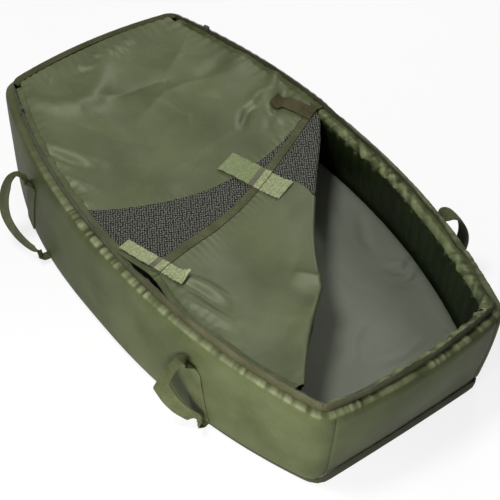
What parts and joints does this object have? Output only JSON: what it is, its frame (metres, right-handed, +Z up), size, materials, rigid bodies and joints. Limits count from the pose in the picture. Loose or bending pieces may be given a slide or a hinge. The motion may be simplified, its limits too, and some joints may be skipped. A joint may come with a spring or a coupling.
{
  "type": "carp cradle",
  "caption": "Foam-walled fish cradle with a crowned mat, a zip-edged cover turned under at one corner, roll-up straps and webbing handles.",
  "frame": {"origin": "on the floor under the middle of the tub, in the plane of the base's underside", "axes": "+X along the tub from the sewn-on end of the cover to its open end, +Y to the far long side, +Z up"},
  "size_m": [1.0372, 0.6893, 0.2291],
  "materials": {
    "wall_cloth": "coated nylon, satin",
    "lining_cloth": "coated nylon, satin, dark",
    "cover_cloth": "coated nylon, glossy",
    "mat_cloth": "smooth coated cloth, matte",
    "base_cloth": "heavy coated cloth, matte",
    "foam": "closed-cell foam",
    "zip_tape": "woven tape, matte",
    "zip_coil": "zip coil",
    "mesh": "open knitted mesh",
    "webbing": "ribbed webbing, matte",
    "strap_web": "ribbed webbing, matte",
    "hook_loop": "hook-and-loop tape",
    "slider": "dark coated"
  },
  "bodies": {
    "tub": {"base_foam": "foam", "base_sheet": "base_cloth", "cover_cross_tape": "zip_tape", "cover_head_panel": "cover_cloth", "cover_mesh_panel": "mesh", "far_cover_zip_tape": "zip_tape", "far_foot_handle_strip": "webbing", "far_foot_handle_tail": "webbing", "far_head_handle_strip": "webbing", "far_head_handle_tail": "webbing", "far_strap_anchor": "strap_web", "far_wall_foam": "foam", "far_wall_lining": "lining_cloth", "far_wall_panel": "wall_cloth", "far_zip_end_tab": "webbing", "floor_foam": "foam", "floor_mat": "mat_cloth", "foot_wall_foam": "foam", "foot_wall_lining": "lining_cloth", "foot_wall_panel": "wall_cloth", "head_binding": "zip_tape", "head_wall_foam": "foam", "head_wall_lining": "lining_cloth", "head_wall_panel": "wall_cloth", "middle_strap_anchor": "strap_web", "near_cover_zip_tape": "zip_tape", "near_foot_handle_strip": "webbing", "near_foot_handle_tail": "webbing", "near_head_handle_strip": "webbing", "near_head_handle_tail": "webbing", "near_strap_anchor": "strap_web", "near_wall_foam": "foam", "near_wall_lining": "lining_cloth", "near_wall_panel": "wall_cloth", "rim_zip_coil": "zip_coil", "rim_zip_tape": "zip_tape"},
    "cover_flap": {"cover_foot_panel": "cover_cloth", "cover_mesh_corner": "mesh", "flap_near_zip_tape": "zip_tape", "flap_tucked_zip_tape": "zip_tape"},
    "near_head_handle": {"near_head_handle_loop": "webbing"},
    "near_foot_handle": {"near_foot_handle_loop": "webbing"},
    "far_head_handle": {"far_head_handle_loop": "webbing"},
    "far_foot_handle": {"far_foot_handle_loop": "webbing"},
    "near_zip_slider": {"near_zip_slider": "slider"},
    "near_zip_pull": {"near_zip_pull": "slider"},
    "far_zip_slider": {"far_zip_slider": "slider"},
    "far_zip_pull": {"far_zip_pull": "slider"},
    "near_strap_loop": {"near_strap_loop_tape": "hook_loop"},
    "near_strap_hook": {"near_strap_hook_tape": "hook_loop"},
    "middle_strap_loop": {"middle_strap_loop_tape": "hook_loop"},
    "middle_strap_hook": {"middle_strap_hook_tape": "hook_loop"},
    "far_strap_loop": {"far_strap_loop_tape": "hook_loop"}
  },
  "joints": [
    {"name": "cover_flap_hinge", "type": "hinge", "parent": "tub", "child": "cover_flap", "pos_m": [0.0105, 0.0082, 0.217], "axis": [0.3339, -0.9426, 0], "range_deg": [0, 140]},
    {"name": "near_head_handle_swing", "type": "hinge", "parent": "tub", "child": "near_head_handle", "pos_m": [-0.22403, -0.29909, 0.024], "axis": [-0.4006, 0.1112, 0.9095], "range_deg": [-10, 70]},
    {"name": "near_foot_handle_swing", "type": "hinge", "parent": "tub", "child": "near_foot_handle", "pos_m": [0.27516, -0.28192, 0.024], "axis": [-0.2241, -0.0433, 0.9736], "range_deg": [-10, 50]},
    {"name": "far_head_handle_swing", "type": "hinge", "parent": "tub", "child": "far_head_handle", "pos_m": [-0.22403, 0.29909, 0.024], "axis": [-0.4006, -0.1112, 0.9095], "range_deg": [-6, 50]},
    {"name": "far_foot_handle_swing", "type": "hinge", "parent": "tub", "child": "far_foot_handle", "pos_m": [0.25895, 0.28555, 0.024], "axis": [-0.1119, 0.018, 0.9936], "range_deg": [-40, 45]},
    {"name": "near_zip_slider_travel", "type": "slide", "parent": "tub", "child": "near_zip_slider", "axis": [0.9623, -0.2719, 0], "range_m": [0, 0.041]},
    {"name": "near_zip_pull_hinge", "type": "hinge", "parent": "near_zip_slider", "child": "near_zip_pull", "pos_m": [-0.39988, -0.22022, 0.2285], "axis": [-0.9623, 0.2719, 0], "range_deg": [0, 80]},
    {"name": "far_zip_slider_travel", "type": "slide", "parent": "tub", "child": "far_zip_slider", "axis": [0.9623, 0.2719, 0], "range_m": [0, 0.041]},
    {"name": "far_zip_pull_hinge", "type": "hinge", "parent": "far_zip_slider", "child": "far_zip_pull", "pos_m": [-0.39988, 0.22022, 0.2285], "axis": [0.9623, 0.2719, 0], "range_deg": [0, 80]},
    {"name": "near_strap_loop_hinge", "type": "hinge", "parent": "tub", "child": "near_strap_loop", "pos_m": [0.05953, -0.21427, 0.21384], "axis": [0.2864, -0.9552, 0.0753], "range_deg": [-85, 0]},
    {"name": "near_strap_hook_hinge", "type": "hinge", "parent": "cover_flap", "child": "near_strap_hook", "pos_m": [0.08368, -0.20798, 0.21191], "axis": [-0.2839, 0.9561, -0.0731], "range_deg": [-85, 0]},
    {"name": "middle_strap_loop_hinge", "type": "hinge", "parent": "tub", "child": "middle_strap_loop", "pos_m": [-0.00861, 0.03645, 0.20566], "axis": [0.3746, -0.9271, -0.0125], "range_deg": [-85, 0]},
    {"name": "middle_strap_hook_hinge", "type": "hinge", "parent": "cover_flap", "child": "middle_strap_hook", "pos_m": [0.01727, 0.0379, 0.20409], "axis": [-0.377, 0.9262, 0.012], "range_deg": [-85, 0]},
    {"name": "far_strap_loop_hinge", "type": "hinge", "parent": "tub", "child": "far_strap_loop", "pos_m": [-0.09451, 0.22137, 0.21444], "axis": [0.4206, -0.9041, -0.0759], "range_deg": [-85, 0]}
  ]
}
